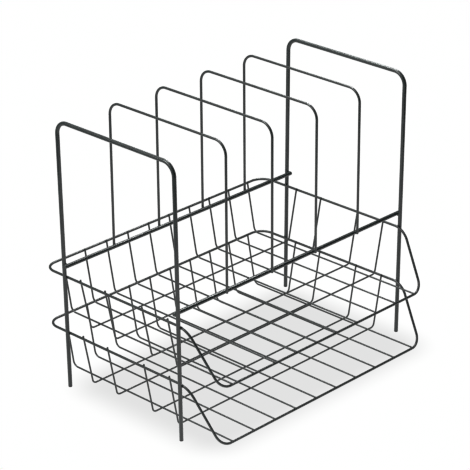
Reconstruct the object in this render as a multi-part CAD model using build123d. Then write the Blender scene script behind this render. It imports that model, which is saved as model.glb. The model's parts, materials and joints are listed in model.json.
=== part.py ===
from build123d import *

import os
from math import asin, atan2, hypot, tan

# Desktop file sorter of welded steel wire. Two thick end frames, each an inverted U, stand on
# the desk and lean slightly outwards. Two rails join them near half height and carry four
# thinner dividers. Two letter trays hang between the end frames: each is a closed rim with a
# floor of crossed wires.
#
# Millimetres, +Z up. The trays' open side faces -Y. The origin is on the desk, under the
# middle of the whole sorter.

# Round wire, by diameter
FRAME_WIRE = 4.0
RIM_WIRE = 2.4
MESH_WIRE = 1.6

# Ends and welds
CUT_ROUNDING = 0.15  # rounding of a sheared end, as a share of the wire's diameter
WELD_SINK = 0.1  # how deep two wires melt into each other, as a share of the thinner wire

# Frame
SORTER_HEIGHT = 298.3
FOOT_PITCH = 327.4  # between the two end frames, on the desk
TOP_PITCH = 334.0  # between the two end frames, at their tops
LEG_PITCH = 163.6  # between the two legs of one end frame
LEGS_BACK = 4.1  # how far behind the middle of the trays the frames stand
FRAME_BEND = 13.7
RAIL_HEIGHT = 139.0
RAIL_OVERHANG = 0.5  # beyond the outer side of an end frame

# Dividers
DIVIDERS = 4
DIVIDER_PITCH = 64.7
DIVIDER_BEND = 14.1
DIVIDER_END_DROP = 1.0  # from the rail's middle down to a divider's cut end

# Trays
RIM_HEIGHTS = {"lower_tray": 61.3, "upper_tray": 125.0}
TRAY_DEPTH = 242.7  # from the rim's back run to the front edge
FRONT_EDGE_WIDTH = 301.8
FRONT_DROP = 57.1  # from the rim down to the front edge
SLOPE_RUN = 35.6  # how far behind the front edge the rim starts to slope down
RIM_BACK_BEND = 15.6
RIM_FRONT_BEND = 14.9
RIM_SHOULDER_BEND = 22.6

# Tray floors
RUNNERS = 10  # wires from back to front
RUNNER_PITCH = 30.5
RUNNER_BACK_STEP = 12.7  # from the rim's back run forward to the floor's back bend
RUNNER_BEND = 6.7
CROSS_WIRES = 4  # wires from side to side
CROSS_PAIR_PITCH = 36.2
CROSS_MIDDLE_GAP = 53.0
CROSS_BACK = 4.4  # how far behind the middle of the tray the cross wires are centred
CROSS_BEND = 5.0
FLOOR_WIDTH = 296.7  # between the side bends of the cross wires
MESH_END_RISE = 2.2  # from the rim's middle up to the cut end of a mesh wire
RUNNER_FRONT_LAP = 0.9  # beyond the middle of the front edge


def welded(one, other):
    """Distance between the middles of two wires welded side by side or across each other."""
    return (one + other) / 2 - WELD_SINK * min(one, other)


def swept(path, diameter):
    """Round wire along a path."""
    section = Plane(origin=path @ 0, z_dir=path % 0) * Circle(diameter / 2)
    return sweep(section, path=path)


def open_wire(corners, bend, diameter):
    """A wire through the corners, each bent to the same radius, with its two ends sheared."""
    path = FilletPolyline(*corners, radius=bend) if len(corners) > 2 else Line(*corners)
    body = swept(path, diameter)
    caps = [body.faces().sort_by_distance(path @ end)[0] for end in (0, 1)]
    return fillet([cap.edge() for cap in caps], CUT_ROUNDING * diameter)


def frame_x(height):
    """Half the distance between the leaning end frames at a height."""
    top = SORTER_HEIGHT - FRAME_WIRE / 2
    return (FOOT_PITCH + (TOP_PITCH - FOOT_PITCH) * height / top) / 2


def end_frame(side):
    """An inverted U with its ends cut level on the desk; side is -1 for left, 1 for right."""
    near = LEGS_BACK - LEG_PITCH / 2
    far = LEGS_BACK + LEG_PITCH / 2
    top = SORTER_HEIGHT - FRAME_WIRE / 2
    low = -FRAME_WIRE
    foot_x = side * frame_x(low)
    top_x = side * frame_x(top)
    corners = [(foot_x, far, low), (top_x, far, top), (top_x, near, top), (foot_x, near, low)]
    body = swept(FilletPolyline(*corners, radius=FRAME_BEND), FRAME_WIRE)
    body = split(body, bisect_by=Plane.XY, keep=Keep.TOP)
    soles = body.faces().group_by(Axis.Z)[0]
    return fillet([sole.edge() for sole in soles], CUT_ROUNDING * FRAME_WIRE)


def rail_offset():
    """From the middle of an end frame to a rail, which is welded inside its leg."""
    return LEG_PITCH / 2 - welded(FRAME_WIRE, FRAME_WIRE)


def rail(side):
    """A straight rail between the end frames; side is -1 for front, 1 for back."""
    y = LEGS_BACK + side * rail_offset()
    reach = frame_x(RAIL_HEIGHT) + FRAME_WIRE / 2 + RAIL_OVERHANG
    return open_wire([(-reach, y, RAIL_HEIGHT), (reach, y, RAIL_HEIGHT)], None, FRAME_WIRE)


def divider(number):
    """An inverted U whose ends are welded to the outer sides of the rails."""
    x = (number - (DIVIDERS - 1) / 2) * DIVIDER_PITCH
    half = rail_offset() + welded(FRAME_WIRE, RIM_WIRE)
    near = LEGS_BACK - half
    far = LEGS_BACK + half
    low = RAIL_HEIGHT - DIVIDER_END_DROP
    top = SORTER_HEIGHT - RIM_WIRE / 2
    return open_wire([(x, far, low), (x, far, top), (x, near, top), (x, near, low)], DIVIDER_BEND, RIM_WIRE)


def rim_half_width(height):
    """The rim's side runs are welded inside the legs of the end frames."""
    return frame_x(height) - welded(FRAME_WIRE, RIM_WIRE)


def tray_rim(height):
    """A closed loop: level round the back and sides, then sloping down to the front edge."""
    side = rim_half_width(height)
    corner = FRONT_EDGE_WIDTH / 2
    back = TRAY_DEPTH / 2
    shoulder = SLOPE_RUN - back
    low = height - FRONT_DROP
    turns = [
        ((side, back, height), RIM_BACK_BEND),
        ((side, shoulder, height), RIM_SHOULDER_BEND),
        ((corner, -back, low), RIM_FRONT_BEND),
        ((-corner, -back, low), RIM_FRONT_BEND),
        ((-side, shoulder, height), RIM_SHOULDER_BEND),
        ((-side, back, height), RIM_BACK_BEND),
    ]
    corners = [point for point, _ in turns]
    bends = [bend for _, bend in turns]
    return swept(FilletPolyline(*corners, radius=bends, close=True), RIM_WIRE)


def mesh_tip(foot, floor, rim, height):
    """The cut end of a mesh wire that leans out from its foot and touches the inside of the rim.

    Foot and rim are distances from the middle of the tray, and floor and height are heights.
    """
    reach = rim - foot
    rise = height - floor
    lean = atan2(reach, rise) - asin(welded(RIM_WIRE, MESH_WIRE) / hypot(reach, rise))
    return foot + (rise + MESH_END_RISE) * tan(lean), height + MESH_END_RISE


def runner_height(height):
    """The runners lie on top of the rim's front edge."""
    return height - FRONT_DROP + welded(RIM_WIRE, MESH_WIRE)


def runner(height, number):
    """A floor wire from the front edge to the back, bent up to the inside of the rim."""
    x = (number - (RUNNERS - 1) / 2) * RUNNER_PITCH
    back = TRAY_DEPTH / 2
    foot = back - RUNNER_BACK_STEP
    floor = runner_height(height)
    tip, top = mesh_tip(foot, floor, back, height)
    corners = [(x, -back - RUNNER_FRONT_LAP, floor), (x, foot, floor), (x, tip, top)]
    return open_wire(corners, RUNNER_BEND, MESH_WIRE)


def cross_wire(height, number):
    """A floor wire from side to side under the runners, bent up to the inside of the rim."""
    steps = [-CROSS_PAIR_PITCH - CROSS_MIDDLE_GAP / 2, -CROSS_MIDDLE_GAP / 2]
    steps += [-step for step in reversed(steps)]
    y = CROSS_BACK + steps[number]
    foot = FLOOR_WIDTH / 2
    floor = runner_height(height) - welded(MESH_WIRE, MESH_WIRE)
    tip, top = mesh_tip(foot, floor, rim_half_width(height), height)
    corners = [(-tip, y, top), (-foot, y, floor), (foot, y, floor), (tip, y, top)]
    return open_wire(corners, CROSS_BEND, MESH_WIRE)


def all_parts():
    """Every wire of the sorter under the name of its node."""
    parts = {
        "end_frame_left": end_frame(-1),
        "end_frame_right": end_frame(1),
        "rail_front": rail(-1),
        "rail_back": rail(1),
    }
    for number in range(DIVIDERS):
        parts[f"divider_{number + 1}"] = divider(number)
    for tray, height in RIM_HEIGHTS.items():
        parts[f"{tray}_rim"] = tray_rim(height)
        for number in range(RUNNERS):
            parts[f"{tray}_runner_{number + 1:02}"] = runner(height, number)
        for number in range(CROSS_WIRES):
            parts[f"{tray}_cross_wire_{number + 1}"] = cross_wire(height, number)
    return parts


os.makedirs("parts", exist_ok=True)
for node, wire in all_parts().items():
    wire.label = node
    export_step(wire, f"parts/{node}.step")
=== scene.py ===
import json
import math

import bpy
from mathutils import Matrix, Vector, noise


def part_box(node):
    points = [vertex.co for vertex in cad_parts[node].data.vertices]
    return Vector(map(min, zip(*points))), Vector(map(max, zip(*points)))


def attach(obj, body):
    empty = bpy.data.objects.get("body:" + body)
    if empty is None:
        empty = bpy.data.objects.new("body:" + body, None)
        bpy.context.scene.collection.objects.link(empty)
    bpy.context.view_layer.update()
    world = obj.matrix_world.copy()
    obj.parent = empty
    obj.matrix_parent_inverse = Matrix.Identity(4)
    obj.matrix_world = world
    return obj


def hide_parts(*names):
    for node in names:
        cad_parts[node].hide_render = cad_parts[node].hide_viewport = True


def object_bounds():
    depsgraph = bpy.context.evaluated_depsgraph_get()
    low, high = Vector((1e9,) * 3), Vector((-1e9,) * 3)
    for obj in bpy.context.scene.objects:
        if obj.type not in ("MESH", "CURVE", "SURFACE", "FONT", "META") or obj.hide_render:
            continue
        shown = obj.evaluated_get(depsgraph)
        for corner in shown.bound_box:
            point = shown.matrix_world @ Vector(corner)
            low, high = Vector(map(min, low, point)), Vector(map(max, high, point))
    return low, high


# Desktop file sorter of welded and powder-coated steel wire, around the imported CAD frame.
# Every CAD wire is replaced by a finer one on the same middle line, with its sheared ends, and
# every weld gets the small fillet of melted steel and coating that joins the two wires.
#
# Metres, +Z up, in the frame's own axes: the trays' open side faces -Y.

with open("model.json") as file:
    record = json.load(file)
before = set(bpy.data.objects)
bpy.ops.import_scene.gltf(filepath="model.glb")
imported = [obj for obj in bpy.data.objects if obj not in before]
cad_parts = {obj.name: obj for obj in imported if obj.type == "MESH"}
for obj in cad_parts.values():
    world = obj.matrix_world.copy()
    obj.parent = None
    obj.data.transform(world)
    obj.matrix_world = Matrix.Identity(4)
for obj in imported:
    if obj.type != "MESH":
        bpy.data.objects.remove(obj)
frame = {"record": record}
cad_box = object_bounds()

MM = 0.001
X = Vector((1, 0, 0))
Y = Vector((0, 1, 0))
Z = Vector((0, 0, 1))
BODY = "sorter"

# Round wire, by diameter
FRAME_WIRE = 4.0 * MM
RIM_WIRE = 2.4 * MM
MESH_WIRE = 1.6 * MM
WELD_SINK = 0.1  # how deep two wires melt into each other, as a share of the thinner wire

# Sheared ends
CUT_ROUNDING = 0.15  # radius of the rounded edge, as a share of the wire's diameter
CUT_DISH = 0.035  # how deep the face is hollow, as a share of the wire's diameter
DISH_CIRCLES = ((0.45, 1.0), (0.85, 0.3))  # shares of the face's radius and of the hollow's depth

# Bends, by the radius of the wire's middle line
FRAME_BEND = 13.7 * MM
DIVIDER_BEND = 14.1 * MM
RIM_BACK_BEND = 15.6 * MM
RIM_SHOULDER_BEND = 22.6 * MM
RIM_FRONT_BEND = 14.9 * MM
RIM_SIDE_BENDS = (RIM_BACK_BEND, RIM_SHOULDER_BEND, RIM_FRONT_BEND)
RIM_BENDS = RIM_SIDE_BENDS + RIM_SIDE_BENDS[::-1]  # down the right side, then up the left side
RUNNER_BEND = 6.7 * MM
CROSS_BEND = 5.0 * MM

# Shapes that a box doesn't tell
FRONT_EDGE_WIDTH = 301.8 * MM
SLOPE_RUN = 35.6 * MM  # how far behind the front edge the rim starts to slope down
RUNNER_BACK_STEP = 12.7 * MM  # from the rim's back run forward to the floor's back bend
FLOOR_WIDTH = 296.7 * MM  # between the side bends of the cross wires
MESH_END_RISE = 2.2 * MM  # from the rim's middle up to the cut end of a mesh wire

# Names and counts of the nodes
DIVIDERS = 4
RUNNERS = 10
CROSS_WIRES = 4
TRAYS = ("lower_tray", "upper_tray")

# Fineness
ARC_STEP = math.radians(3)
ROUNDING_STEPS = 5  # from a sheared face round to the side of the wire
SIDES = {FRAME_WIRE: 48, RIM_WIRE: 36, MESH_WIRE: 28}

# Weld fillets, by the radius of the ball that rolls round the weld
THICK_FILLET = 0.95 * MM
RIM_FILLET = 0.6 * MM
MESH_FILLET = 0.42 * MM
FILLET_ROOT = 0.12 * MM  # how deep the fillet's edges reach into the wires
FILLET_SIDES = 36  # places of the ball round the weld
FILLET_STEPS = 5  # across the hollow
FILLET_UNEVENNESS = 0.22  # of the ball's radius
FILLET_WAVINESS = 1.3  # how fast the unevenness changes round the weld
FILLET_SEED = 2.7  # step in the noise from one weld to the next
FILLET_SEED_SKEW = 0.37  # sideways part of that step
TANGENT_REACH = 2  # to each side, where a bent wire counts as straight, in wire diameters

# Search for the places where the ball touches both wires
BALL_TRIES = 40
BALL_SETTLED = 1e-8  # the search ends with a move shorter than this
BALL_WEDGED = 1e-6  # determinant of the two slopes, below which they don't say where to move
BALL_STEP_OUT = 1.01  # factor by which a wedged ball moves out

# Powder coat. A noise is (scale, detail), with the scale in cells per metre.
SPECULAR_LEVEL = 0.5
SKIN_WEIGHT = 0.25  # of the smooth skin on the coating
SKIN_ROUGHNESS = 0.24
ROUGHNESS = {"frame_coating": 0.3, "rim_coating": 0.3, "mesh_coating": 0.34}
DRIFT_NOISE = (55, 3)
DRIFT_RANGE = (0.32, 0.68)  # of the noise, from the darkest to the lightest tint
DARKEST_TINT = (0.73, 0.83, 0.83)  # shares of the recorded red, green and blue
LIGHTEST_TINT = (1.1, 1.26, 1.24)
PATCH_NOISE = (420, 2)
PATCH_RANGE = (0.3, 0.7)  # of the noise, from the glossiest to the dullest patch
PATCH_ROUGHNESS = (-0.06, 0.08)  # added to the coating's own roughness
PEEL_NOISE = (1700, 1)
PEEL_HEIGHT = 0.003 * MM

# Camera. Its offset is to the right and upwards, in its own plane.
CAMERA_AZIMUTH = math.radians(-45.775)
CAMERA_ELEVATION = math.radians(24.424)
CAMERA_ROLL = math.radians(-0.388)
CAMERA_DISTANCE = 2.312
CAMERA_OFFSET = (-0.00513, 0.13181)
CAMERA_LENS = 167.11  # in mm, like the sensor's width
CAMERA_SENSOR = 36
CAMERA_CLIP = (0.1, 100)

# Paper, and the shadow painted on it under the sorter
WHITE = (1, 1, 1, 1)
PAPER_REACH = 30  # from the origin to the floor's edges
SHADE = 0.862  # brightness of the painted shadow before the contrast curve, as a share of the paper's
SHADE_FADE = 50 * MM  # from the full shade to the clean paper
SHADE_ROUNDING = 34 * MM  # radius of the corners
SHADE_FRONT = 1.5 * MM  # how far the shade reaches in front of the trays

# Contrast of a printed picture, as (tone, printed tone): dark tones draw together, the greys
# darken, and white stays
TONES = (
    (0.04, 0.018),
    (0.1, 0.046),
    (0.18, 0.07),
    (0.3, 0.125),
    (0.5, 0.28),
    (0.7, 0.52),
    (0.85, 0.74),
)
ALL_CHANNELS = 3  # the curve that acts on red, green and blue together

# Lights: where they stand, the side of the square, and the power in watts
KEY_PLACE = (0.55, 0.35, 0.95)
KEY_SIZE = 0.55
KEY_POWER = 3.0
RIGHT_PLACE = (0.34, 0.14, 0.7)
RIGHT_SIZE = 0.22
RIGHT_POWER = 3.0
OVERHEAD_PLACE = (0.18, 0.3, 0.79)
OVERHEAD_SIZE = 0.5
OVERHEAD_POWER = 2.5
LEFT_DIRECTION = (-0.92, 0.3, 0.97)
LEFT_DISTANCE = 1.4
LEFT_SIZE = 0.9
LEFT_POWER = 33
BOUNCE_LIFT = 0.5 * MM  # above the paper
BOUNCE_PLACE = (0, 0, BOUNCE_LIFT)
BOUNCE_SIZE = 1.0
BOUNCE_POWER = 4.0
FRONT_BOUNCE_PLACE = (-0.35, -0.35, BOUNCE_LIFT)
FRONT_BOUNCE_SIZE = 0.6
FRONT_BOUNCE_POWER = 0.8


def welded(one, other):
    """Distance between the middles of two wires welded side by side or across each other."""
    return (one + other) / 2 - WELD_SINK * min(one, other)


# ---------------------------------------------------------------- middle lines


def middle_box(node, diameter):
    """The box of a wire's middle line."""
    low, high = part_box(node)
    inset = Vector((1, 1, 1)) * diameter / 2
    return low + inset, high - inset


def centre(node):
    """The middle of a node's box."""
    low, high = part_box(node)
    return (low + high) / 2


def frame_x(height):
    """Half the distance between the leaning end frames at a height."""
    low, high = middle_box("end_frame_right", FRAME_WIRE)
    return low.x + (high.x - low.x) * height / high.z


def end_frame_line(side):
    """Corners of an inverted U; side is -1 for left, 1 for right."""
    low, high = middle_box("end_frame_right", FRAME_WIRE)
    foot = side * frame_x(0)
    top = side * high.x
    return [
        Vector((foot, high.y, 0)),
        Vector((top, high.y, high.z)),
        Vector((top, low.y, high.z)),
        Vector((foot, low.y, 0)),
    ]


def rail_line(node):
    """The two ends of a straight rail."""
    middle = centre(node)
    low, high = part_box(node)
    return [Vector((low.x, middle.y, middle.z)), Vector((high.x, middle.y, middle.z))]


def divider_line(node):
    """Corners of an inverted U in a plane square to the rails."""
    low, high = middle_box(node, RIM_WIRE)
    x = centre(node).x
    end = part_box(node)[0].z
    return [
        Vector((x, high.y, end)),
        Vector((x, high.y, high.z)),
        Vector((x, low.y, high.z)),
        Vector((x, low.y, end)),
    ]


def rim_line(tray):
    """Corners of the closed loop, from the right end of its back run round the front."""
    low, high = middle_box(f"{tray}_rim", RIM_WIRE)
    shoulder = low.y + SLOPE_RUN
    corner = FRONT_EDGE_WIDTH / 2
    return [
        Vector((high.x, high.y, high.z)),
        Vector((high.x, shoulder, high.z)),
        Vector((corner, low.y, low.z)),
        Vector((-corner, low.y, low.z)),
        Vector((-high.x, shoulder, high.z)),
        Vector((-high.x, high.y, high.z)),
    ]


def mesh_tip(foot, floor, rim, height):
    """The cut end of a mesh wire that leans out from its foot and touches the inside of the rim.

    foot and rim are distances from the middle of the tray, and floor and height are heights.
    """
    reach = rim - foot
    rise = height - floor
    apart = welded(RIM_WIRE, MESH_WIRE)
    lean = math.atan2(reach, rise) - math.asin(apart / math.hypot(reach, rise))
    return foot + (rise + MESH_END_RISE) * math.tan(lean), height + MESH_END_RISE


def runner_floor(tray):
    """Height of the runners' middle lines. The runners lie on top of the rim's front edge."""
    low, _ = middle_box(f"{tray}_rim", RIM_WIRE)
    return low.z + welded(RIM_WIRE, MESH_WIRE)


def runner_line(tray, node):
    """Corners of a floor wire from the front edge to the inside of the rim's back run."""
    _, high = middle_box(f"{tray}_rim", RIM_WIRE)
    x = centre(node).x
    floor = runner_floor(tray)
    foot = high.y - RUNNER_BACK_STEP
    tip, top = mesh_tip(foot, floor, high.y, high.z)
    return [
        Vector((x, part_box(node)[0].y, floor)),
        Vector((x, foot, floor)),
        Vector((x, tip, top)),
    ]


def cross_wire_line(tray, node):
    """Corners of a floor wire from side to side under the runners."""
    _, high = middle_box(f"{tray}_rim", RIM_WIRE)
    y = centre(node).y
    floor = runner_floor(tray) - welded(MESH_WIRE, MESH_WIRE)
    foot = FLOOR_WIDTH / 2
    tip, top = mesh_tip(foot, floor, high.x, high.z)
    return [
        Vector((-tip, y, top)),
        Vector((-foot, y, floor)),
        Vector((foot, y, floor)),
        Vector((tip, y, top)),
    ]


# ---------------------------------------------------------------- wire meshes


def arc(before, corner, after, radius):
    """(point, direction) along the arc that rounds a corner."""
    inward = (corner - before).normalized()
    outward = (after - corner).normalized()
    turn = inward.angle(outward)
    start = corner - inward * radius * math.tan(turn / 2)
    across = (outward - inward * inward.dot(outward)).normalized()
    steps = max(2, math.ceil(turn / ARC_STEP))
    for step in range(steps + 1):
        angle = turn * step / steps
        point = start + radius * (inward * math.sin(angle) + across * (1 - math.cos(angle)))
        yield point, inward * math.cos(angle) + across * math.sin(angle)


def open_path(corners, bend):
    """(point, direction) along a wire with two ends."""
    path = [(corners[0], (corners[1] - corners[0]).normalized())]
    for before, corner, after in zip(corners, corners[1:], corners[2:]):
        path += arc(before, corner, after, bend)
    path.append((corners[-1], (corners[-1] - corners[-2]).normalized()))
    return path


def closed_path(corners, bends):
    """(point, direction) along a loop."""
    path = []
    for number, bend in enumerate(bends):
        after = corners[(number + 1) % len(corners)]
        path += arc(corners[number - 1], corners[number], after, bend)
    return path


def ring(point, direction, reference, radius, sides):
    """A circle of points round a wire; reference keeps the circles from twisting."""
    up = (reference - direction * direction.dot(reference)).normalized()
    side = direction.cross(up)
    angles = [2 * math.pi * number / sides for number in range(sides)]
    return [point + radius * (up * math.cos(angle) + side * math.sin(angle)) for angle in angles]


def cut_end(point, outward, direction, reference, diameter, level):
    """The hollow middle of a sheared face, and the circles from there to where the wire is full.

    outward points off the end, and direction along the wire's path.
    """
    rounding = CUT_ROUNDING * diameter
    face = diameter / 2 - rounding
    rings = [(share * face, deep * CUT_DISH * diameter) for share, deep in DISH_CIRCLES]
    for step in range(ROUNDING_STEPS + 1):
        angle = math.pi / 2 * step / ROUNDING_STEPS
        rings.append((face + rounding * math.sin(angle), rounding * (1 - math.cos(angle))))
    circles = []
    for radius, depth in rings:
        circle = ring(point - outward * depth, direction, reference, radius, SIDES[diameter])
        if level:
            circle = [spot + outward * ((depth - spot.z) / outward.z) for spot in circle]
        circles.append(circle)
    hollow = point - outward * CUT_DISH * diameter
    return hollow, circles


def tube(name, path, reference, diameter, closed=False, level=False):
    """A wire's piece. level cuts the ends along the desk instead of square to the wire."""
    sides = SIDES[diameter]
    circles = []
    for point, direction in path if closed else path[1:-1]:
        circles.append(ring(point, direction, reference, diameter / 2, sides))
    hollows = []
    if not closed:
        point, direction = path[0]
        hollow, start = cut_end(point, -direction, direction, reference, diameter, level)
        hollows.append(hollow)
        point, direction = path[-1]
        hollow, end = cut_end(point, direction, direction, reference, diameter, level)
        hollows.append(hollow)
        circles = start + circles + end[::-1]

    vertices = [spot for circle in circles for spot in circle]
    faces = []
    spans = len(circles) if closed else len(circles) - 1
    for span in range(spans):
        here = span * sides
        there = (span + 1) % len(circles) * sides
        for number in range(sides):
            beside = (number + 1) % sides
            faces.append((here + number, here + beside, there + beside, there + number))
    if not closed:
        first = len(vertices)
        vertices += hollows
        last = (len(circles) - 1) * sides
        for number in range(sides):
            beside = (number + 1) % sides
            faces.append((first, beside, number))
            faces.append((first + 1, last + number, last + beside))
    return piece(name, vertices, faces)


def piece(name, vertices, faces):
    """A smooth mesh object."""
    mesh = bpy.data.meshes.new(name)
    mesh.from_pydata(vertices, [], faces)
    mesh.validate()
    mesh.polygons.foreach_set("use_smooth", [True] * len(mesh.polygons))
    mesh.update()
    return added(name, mesh)


def added(name, data):
    """A new object in the scene."""
    made = bpy.data.objects.new(name, data)
    bpy.context.scene.collection.objects.link(made)
    return made


# ---------------------------------------------------------------- weld fillets


class Run:
    """A straight stretch of wire between two points, as its welds see it."""

    def __init__(self, start, end, diameter):
        self.start = start
        self.length = (end - start).length
        self.direction = (end - start).normalized()
        self.radius = diameter / 2
        self.rounding = CUT_ROUNDING * diameter

    def nearest(self, point):
        """Distance from the wire's surface to a point, and the direction from one to the other."""
        offset = point - self.start
        along = offset.dot(self.direction)
        held = min(max(along, self.rounding), self.length - self.rounding)
        radial = offset - self.direction * along
        core = self.radius - self.rounding
        if radial.length > core:
            radial = radial.normalized() * core
        away = offset - self.direction * held - radial
        return away.length - self.rounding, away.normalized()


def tangent_run(path, other, diameter):
    """The straight run that lies along a bent wire where it passes another wire."""
    point, direction = min(path, key=lambda spot: other.nearest(spot[0])[0])
    reach = TANGENT_REACH * diameter * direction
    return Run(point - reach, point + reach, diameter)


def closest_points(one, other):
    """Where the middle lines of two crossing wires come nearest to each other."""
    gap = other.start - one.start
    share = one.direction.dot(other.direction)
    square = 1 - share * share
    along = (gap.dot(one.direction) - share * gap.dot(other.direction)) / square
    point = one.start + one.direction * along
    back = other.start + other.direction * (point - other.start).dot(other.direction)
    return point, back


def fillet(one, other, radius, seed):
    """Vertices and faces of the closed ring that fills the hollow round a weld.

    A ball rolls round the crossing and touches both wires. Its near side draws the fillet.
    """
    point, back = closest_points(one, other)
    normal = (point - back).normalized()
    middle = back + normal * ((point - back).length - one.radius + other.radius) / 2
    first = one.direction
    second = normal.cross(first)
    reach = (one.radius + other.radius) / 2 + radius
    depth = 0.0
    vertices = []
    for number in range(FILLET_SIDES):
        angle = 2 * math.pi * number / FILLET_SIDES
        heading = first * math.cos(angle) + second * math.sin(angle)
        place = heading * FILLET_WAVINESS + Vector((seed, seed * FILLET_SEED_SKEW, 0))
        ball = radius * (1 + FILLET_UNEVENNESS * noise.noise(place))
        for _ in range(BALL_TRIES):
            spot = middle + heading * reach + normal * depth
            gap_one, away_one = one.nearest(spot)
            gap_other, away_other = other.nearest(spot)
            slope = Matrix((
                (away_one.dot(heading), away_one.dot(normal)),
                (away_other.dot(heading), away_other.dot(normal)),
            ))
            if abs(slope.determinant()) < BALL_WEDGED:
                reach *= BALL_STEP_OUT
                continue
            move = slope.inverted() @ Vector((ball - gap_one, ball - gap_other))
            if move.length > radius:
                move = move.normalized() * radius
            reach += move.x
            depth += move.y
            if move.length < BALL_SETTLED:
                break
        spot = middle + heading * reach + normal * depth
        _, away_one = one.nearest(spot)
        _, away_other = other.nearest(spot)
        strip = [spot - away_one * (ball + FILLET_ROOT)]
        opening = away_one.angle(away_other)
        for step in range(FILLET_STEPS + 1):
            share = step / FILLET_STEPS
            turned = away_one * math.sin((1 - share) * opening)
            turned += away_other * math.sin(share * opening)
            strip.append(spot - turned / math.sin(opening) * ball)
        strip.append(spot - away_other * (ball + FILLET_ROOT))
        vertices += strip
    around = len(strip)
    faces = []
    for number in range(FILLET_SIDES):
        here = number * around
        there = (number + 1) % FILLET_SIDES * around
        for step in range(around):
            beside = (step + 1) % around
            faces.append((here + step, here + beside, there + beside, there + step))
    return vertices, faces


def fillets(name, welds):
    """One piece with the fillets of several welds, each (run, run, radius)."""
    vertices = []
    faces = []
    for number, (one, other, radius) in enumerate(welds):
        more, round_them = fillet(one, other, radius, number * FILLET_SEED)
        first = len(vertices)
        vertices += more
        faces += [tuple(first + corner for corner in face) for face in round_them]
    return piece(name, vertices, faces)


def runs(corners, diameter):
    """The straight runs between the corners of an open wire."""
    return [Run(start, end, diameter) for start, end in zip(corners, corners[1:])]


def rim_runs(tray):
    """The straight runs of a tray's rim that have welds."""
    right_back, right_shoulder, right_front, left_front, left_shoulder, left_back = rim_line(tray)
    return {
        "left": Run(left_shoulder, left_back, RIM_WIRE),
        "right": Run(right_shoulder, right_back, RIM_WIRE),
        "front": Run(left_front, right_front, RIM_WIRE),
        "back": Run(left_back, right_back, RIM_WIRE),
    }


# ---------------------------------------------------------------- materials


def coating(slot, roughness):
    """Semi-gloss powder coat over steel, in the slot's recorded colour."""
    recorded = [row for row in frame["record"]["materials"] if row["slot"] == slot][0]
    material = bpy.data.materials.new(slot)
    material.use_nodes = True
    nodes = material.node_tree.nodes
    link = material.node_tree.links.new
    shader = nodes["Principled BSDF"]
    shader.inputs["Specular IOR Level"].default_value = SPECULAR_LEVEL
    shader.inputs["Coat Weight"].default_value = SKIN_WEIGHT
    shader.inputs["Coat Roughness"].default_value = SKIN_ROUGHNESS
    place = nodes.new("ShaderNodeTexCoord")

    def cloud(scale, detail):
        made = nodes.new("ShaderNodeTexNoise")
        made.inputs["Scale"].default_value = scale
        made.inputs["Detail"].default_value = detail
        link(place.outputs["Object"], made.inputs["Vector"])
        return made.outputs["Fac"]

    # Thickness of the coat: slow drifts of colour along a wire
    tint = nodes.new("ShaderNodeValToRGB")
    ends = zip(tint.color_ramp.elements, DRIFT_RANGE, (DARKEST_TINT, LIGHTEST_TINT))
    for end, position, shares in ends:
        end.position = position
        end.color = (*(base * share for base, share in zip(recorded["base_color"], shares)), 1)
    link(cloud(*DRIFT_NOISE), tint.inputs["Fac"])
    link(tint.outputs["Color"], shader.inputs["Base Color"])

    # Gloss changes from patch to patch
    gloss = nodes.new("ShaderNodeMapRange")
    gloss.inputs["From Min"].default_value = PATCH_RANGE[0]
    gloss.inputs["From Max"].default_value = PATCH_RANGE[1]
    gloss.inputs["To Min"].default_value = roughness + PATCH_ROUGHNESS[0]
    gloss.inputs["To Max"].default_value = roughness + PATCH_ROUGHNESS[1]
    link(cloud(*PATCH_NOISE), gloss.inputs["Value"])
    link(gloss.outputs["Result"], shader.inputs["Roughness"])

    # Orange peel
    bump = nodes.new("ShaderNodeBump")
    bump.inputs["Distance"].default_value = PEEL_HEIGHT
    bump.inputs["Strength"].default_value = 1.0
    link(cloud(*PEEL_NOISE), bump.inputs["Height"])
    link(bump.outputs["Normal"], shader.inputs["Normal"])
    link(bump.outputs["Normal"], shader.inputs["Coat Normal"])
    return material


COATINGS = {slot: coating(slot, roughness) for slot, roughness in ROUGHNESS.items()}


def finish_piece(made, slot, *replaced):
    """Coats a piece, ties it to the sorter and hides the nodes that it replaces."""
    made.data.materials.append(COATINGS[slot])
    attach(made, BODY)
    if replaced:
        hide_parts(*replaced)


# ---------------------------------------------------------------- the sorter


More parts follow.
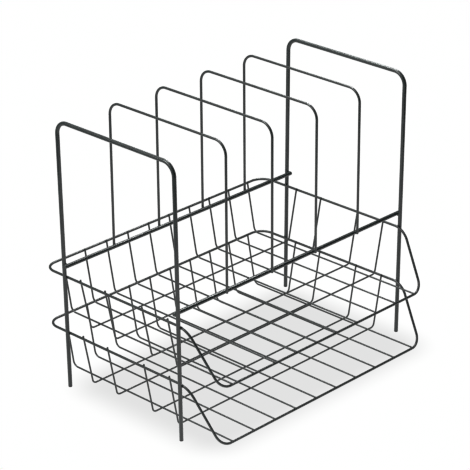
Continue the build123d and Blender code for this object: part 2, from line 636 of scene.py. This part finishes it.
def build_frame():
    """End frames, rails and dividers, and the fillets between them and the trays' rims."""
    legs = {}
    for name, side in (("left", -1), ("right", 1)):
        node = f"end_frame_{name}"
        corners = end_frame_line(side)
        wire = tube(f"{node}_wire", open_path(corners, FRAME_BEND), X, FRAME_WIRE, level=True)
        finish_piece(wire, "frame_coating", node)
        back_leg, _, front_leg = runs(corners, FRAME_WIRE)
        legs[name] = {"back": back_leg, "front": front_leg}
    rails = {}
    for name in ("front", "back"):
        node = f"rail_{name}"
        corners = rail_line(node)
        wire = tube(f"{node}_wire", open_path(corners, 0), Z, FRAME_WIRE)
        finish_piece(wire, "frame_coating", node)
        rails[name] = Run(*corners, FRAME_WIRE)
    welds = [(rails[name], leg[name], THICK_FILLET) for leg in legs.values() for name in rails]
    for number in range(DIVIDERS):
        node = f"divider_{number + 1}"
        corners = divider_line(node)
        wire = tube(f"{node}_wire", open_path(corners, DIVIDER_BEND), X, RIM_WIRE)
        finish_piece(wire, "rim_coating", node)
        back_end, _, front_end = runs(corners, RIM_WIRE)
        welds.append((back_end, rails["back"], RIM_FILLET))
        welds.append((front_end, rails["front"], RIM_FILLET))
    for tray in TRAYS:
        bent = closed_path(rim_line(tray), RIM_BENDS)
        rim = rim_runs(tray)
        for name, leg in legs.items():
            welds.append((rim[name], leg["back"], RIM_FILLET))
            passing = tangent_run(bent, leg["front"], RIM_WIRE)
            welds.append((passing, leg["front"], RIM_FILLET))
    finish_piece(fillets("frame_welds", welds), "frame_coating")


def build_tray(tray):
    """A tray's rim, its floor wires, and the fillets between them."""
    bent = closed_path(rim_line(tray), RIM_BENDS)
    wire = tube(f"{tray}_rim_wire", bent, Z, RIM_WIRE, closed=True)
    finish_piece(wire, "rim_coating", f"{tray}_rim")

    rim = rim_runs(tray)
    welds = []
    floors = []
    for number in range(RUNNERS):
        node = f"{tray}_runner_{number + 1:02}"
        corners = runner_line(tray, node)
        wire = tube(f"{node}_wire", open_path(corners, RUNNER_BEND), X, MESH_WIRE)
        finish_piece(wire, "mesh_coating", node)
        floor, upright = runs(corners, MESH_WIRE)
        floors.append(floor)
        welds.append((floor, rim["front"], MESH_FILLET))
        welds.append((upright, rim["back"], MESH_FILLET))
    for number in range(CROSS_WIRES):
        node = f"{tray}_cross_wire_{number + 1}"
        corners = cross_wire_line(tray, node)
        wire = tube(f"{node}_wire", open_path(corners, CROSS_BEND), Y, MESH_WIRE)
        finish_piece(wire, "mesh_coating", node)
        left_end, floor, right_end = runs(corners, MESH_WIRE)
        welds.append((left_end, rim["left"], MESH_FILLET))
        welds.append((right_end, rim["right"], MESH_FILLET))
        welds += [(runner, floor, MESH_FILLET) for runner in floors]
    finish_piece(fillets(f"{tray}_welds", welds), "mesh_coating")


# ---------------------------------------------------------------- stage, light and camera


def paper(middle, half):
    """Evenly bright white paper with a soft shadow of the sorter painted into its colour, a
    rectangle with rounded corners.

    middle is the middle of the rectangle, and half is half its size.
    """
    material = bpy.data.materials.new("paper")
    material.use_nodes = True
    nodes = material.node_tree.nodes
    link = material.node_tree.links.new
    nodes.clear()

    # Distance from the smaller rectangle whose corners are the middles of the rounded ones
    last = nodes.new("ShaderNodeTexCoord").outputs["Object"]
    nothing = Vector((0, 0, 0))
    inner = half - Vector((SHADE_ROUNDING, SHADE_ROUNDING, 0))
    steps = (("SUBTRACT", middle), ("ABSOLUTE", nothing), ("SUBTRACT", inner), ("MAXIMUM", nothing))
    for operation, value in steps:
        step = nodes.new("ShaderNodeVectorMath")
        step.operation = operation
        step.inputs[1].default_value = value
        link(last, step.inputs[0])
        last = step.outputs["Vector"]
    distance = nodes.new("ShaderNodeVectorMath")
    distance.operation = "LENGTH"
    link(last, distance.inputs[0])

    fade = nodes.new("ShaderNodeMapRange")
    fade.interpolation_type = "SMOOTHSTEP"
    fade.inputs["From Min"].default_value = SHADE_ROUNDING - SHADE_FADE / 2
    fade.inputs["From Max"].default_value = SHADE_ROUNDING + SHADE_FADE / 2
    link(distance.outputs["Value"], fade.inputs["Value"])
    # The painted shadow: the paper's colour darkens to SHADE inside the rounded rectangle and fades
    # to white outside it.
    tint = nodes.new("ShaderNodeMix")
    tint.data_type = "RGBA"
    tint.inputs["A"].default_value = (SHADE, SHADE, SHADE, 1)
    tint.inputs["B"].default_value = WHITE
    link(fade.outputs["Result"], tint.inputs["Factor"])
    glow = nodes.new("ShaderNodeEmission")
    link(tint.outputs["Result"], glow.inputs["Color"])
    output = nodes.new("ShaderNodeOutputMaterial")
    link(glow.outputs["Emission"], output.inputs["Surface"])
    return material


def build_floor():
    """A white floor with the sorter's shadow painted on it. The wires don't mirror it: the bounce
    lights stand for it.
    """
    signs = ((-1, -1), (1, -1), (1, 1), (-1, 1))
    corners = [(across * PAPER_REACH, along * PAPER_REACH, 0) for across, along in signs]
    mesh = bpy.data.meshes.new("floor")
    mesh.from_pydata(corners, [], [(0, 1, 2, 3)])
    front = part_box("lower_tray_rim")[0].y - SHADE_FRONT
    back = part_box("end_frame_right")[1].y
    middle = Vector((0, (front + back) / 2, 0))
    half = Vector((frame_x(0), (back - front) / 2, 0))
    mesh.materials.append(paper(middle, half))
    floor = added("floor", mesh)
    floor.visible_glossy = False
    floor.visible_diffuse = False


def softbox(name, place, target, size, power):
    """A soft square light, which the camera doesn't see."""
    light = bpy.data.lights.new(name, "AREA")
    light.shape = "SQUARE"
    light.size = size
    light.energy = power
    made = added(name, light)
    made.location = place
    made.rotation_mode = "QUATERNION"
    made.rotation_quaternion = (Vector(target) - Vector(place)).to_track_quat("-Z", "Y")
    made.visible_camera = False


def build_lights():
    """Softboxes above, behind and on the left, and two low ones for the light off the paper."""
    middle = (cad_box[0] + cad_box[1]) / 2
    softbox("key", KEY_PLACE, middle, KEY_SIZE, KEY_POWER)
    softbox("right", RIGHT_PLACE, middle, RIGHT_SIZE, RIGHT_POWER)
    softbox("overhead", OVERHEAD_PLACE, middle, OVERHEAD_SIZE, OVERHEAD_POWER)
    left = Vector(LEFT_DIRECTION).normalized() * LEFT_DISTANCE
    softbox("left", middle + left, middle, LEFT_SIZE, LEFT_POWER)
    softbox("bounce", BOUNCE_PLACE, middle, BOUNCE_SIZE, BOUNCE_POWER)
    above = Vector(FRONT_BOUNCE_PLACE) + Z
    softbox("front_bounce", FRONT_BOUNCE_PLACE, above, FRONT_BOUNCE_SIZE, FRONT_BOUNCE_POWER)


def build_backdrop():
    """A white world, which the wires neither mirror nor take light from."""
    world = bpy.data.worlds.new("studio")
    bpy.context.scene.world = world
    world.use_nodes = True
    background = world.node_tree.nodes["Background"]
    background.inputs["Color"].default_value = WHITE
    background.inputs["Strength"].default_value = 1.0
    world.cycles_visibility.glossy = False
    world.cycles_visibility.diffuse = False


def build_camera():
    """The camera looks at the origin and is then shifted in its own plane."""
    back = Vector((
        math.sin(CAMERA_AZIMUTH) * math.cos(CAMERA_ELEVATION),
        -math.cos(CAMERA_AZIMUTH) * math.cos(CAMERA_ELEVATION),
        math.sin(CAMERA_ELEVATION),
    ))
    right = Vector((math.cos(CAMERA_AZIMUTH), math.sin(CAMERA_AZIMUTH), 0))
    up = back.cross(right)
    level = Matrix((right, up, back)).transposed()
    turned = level @ Matrix.Rotation(CAMERA_ROLL, 3, "Z")
    place = turned @ Vector((*CAMERA_OFFSET, CAMERA_DISTANCE))
    camera = bpy.data.cameras.new("camera")
    camera.sensor_width = CAMERA_SENSOR
    camera.lens = CAMERA_LENS
    camera.clip_start, camera.clip_end = CAMERA_CLIP
    made = added("camera", camera)
    made.matrix_world = Matrix.Translation(place) @ turned.to_4x4()
    bpy.context.scene.camera = made


def build_tones():
    """The picture's contrast curve."""
    view = bpy.context.scene.view_settings
    view.view_transform = "Standard"
    view.use_curve_mapping = True
    curve = view.curve_mapping.curves[ALL_CHANNELS]
    for tone, printed in TONES:
        curve.points.new(tone, printed)
    view.curve_mapping.update()


build_frame()
for tray in TRAYS:
    build_tray(tray)
build_floor()
build_lights()
build_backdrop()
build_camera()
build_tones()
